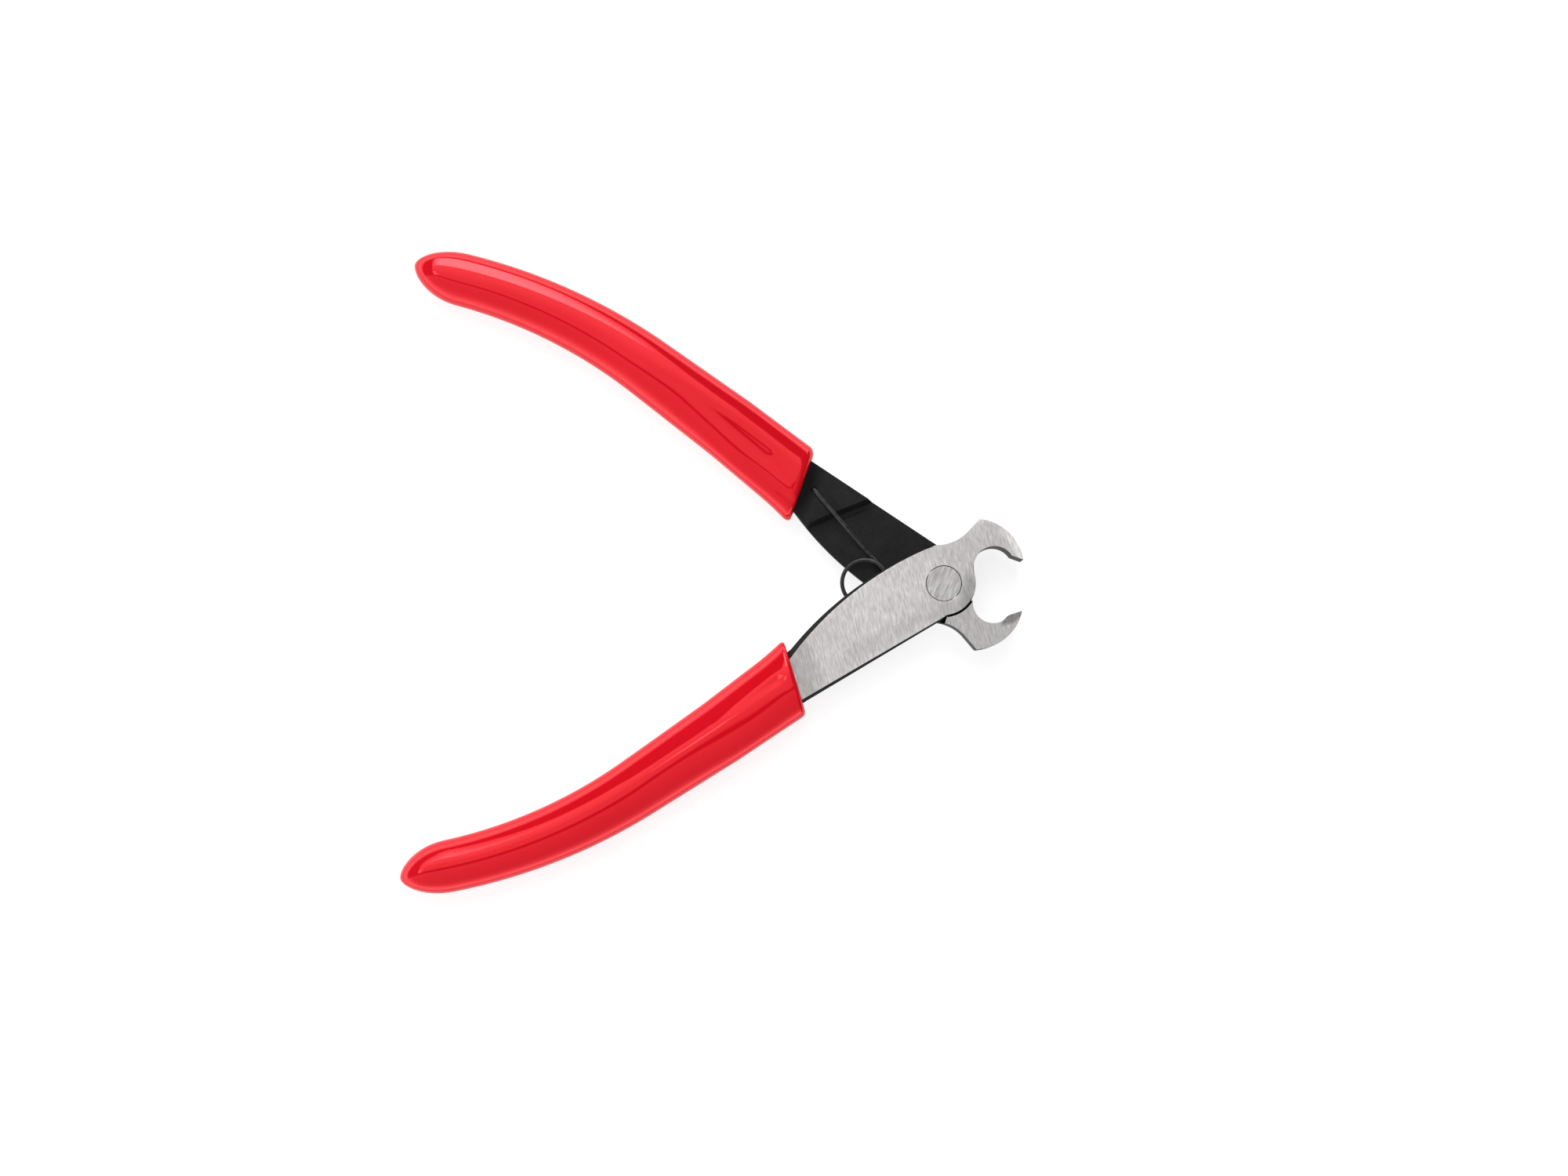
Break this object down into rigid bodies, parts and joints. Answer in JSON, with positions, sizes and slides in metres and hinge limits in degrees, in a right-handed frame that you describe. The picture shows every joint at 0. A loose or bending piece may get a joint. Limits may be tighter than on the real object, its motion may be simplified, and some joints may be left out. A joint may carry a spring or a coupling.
{
  "type": "end cutting nippers",
  "caption": "End cutting nippers with two half-lapped forged levers on a flush rivet, a wire return spring and dipped vinyl grips.",
  "frame": {"origin": "pivot axis in the ground face of the rear half, which is the flush rear end of the rivet", "axes": "+X from the pivot towards the jaws along the middle line, +Y towards the rear half's handle, +Z along the pivot axis towards the front half's ground face"},
  "size_m": [0.148, 0.1548, 0.0136],
  "materials": {
    "ground_steel": "ground faces with fine brush lines, black oxide elsewhere",
    "black_steel": "black oxide, satin, with ground outer faces",
    "rivet_steel": "ground flush",
    "spring_wire": "blackened, satin",
    "grip_vinyl": "dipped vinyl, glossy"
  },
  "bodies": {
    "front_lever": {"front_half": "ground_steel", "pivot_rivet": "rivet_steel", "front_grip": "grip_vinyl"},
    "rear_lever": {"rear_half": "black_steel", "rear_grip": "grip_vinyl"},
    "spring": {"return_spring": "spring_wire"}
  },
  "joints": [
    {"name": "jaw_pivot", "type": "hinge", "parent": "front_lever", "child": "rear_lever", "pos_m": [0, 0, 0.005], "axis": [0, 0, 1], "range_deg": [0, 35.4], "stiffness_Nm_per_rad": 0.6, "springref_deg": -20.05, "deforming": ["return_spring"]},
    {"name": "spring_turn", "type": "hinge", "parent": "front_lever", "child": "spring", "pos_m": [0, 0, 0.005], "axis": [0, 0, 1], "range_deg": [0, 17.7], "deforming": ["return_spring"]}
  ],
  "couplings": [
    {"joint": "spring_turn", "follows": "jaw_pivot", "ratio": 0.5}
  ]
}
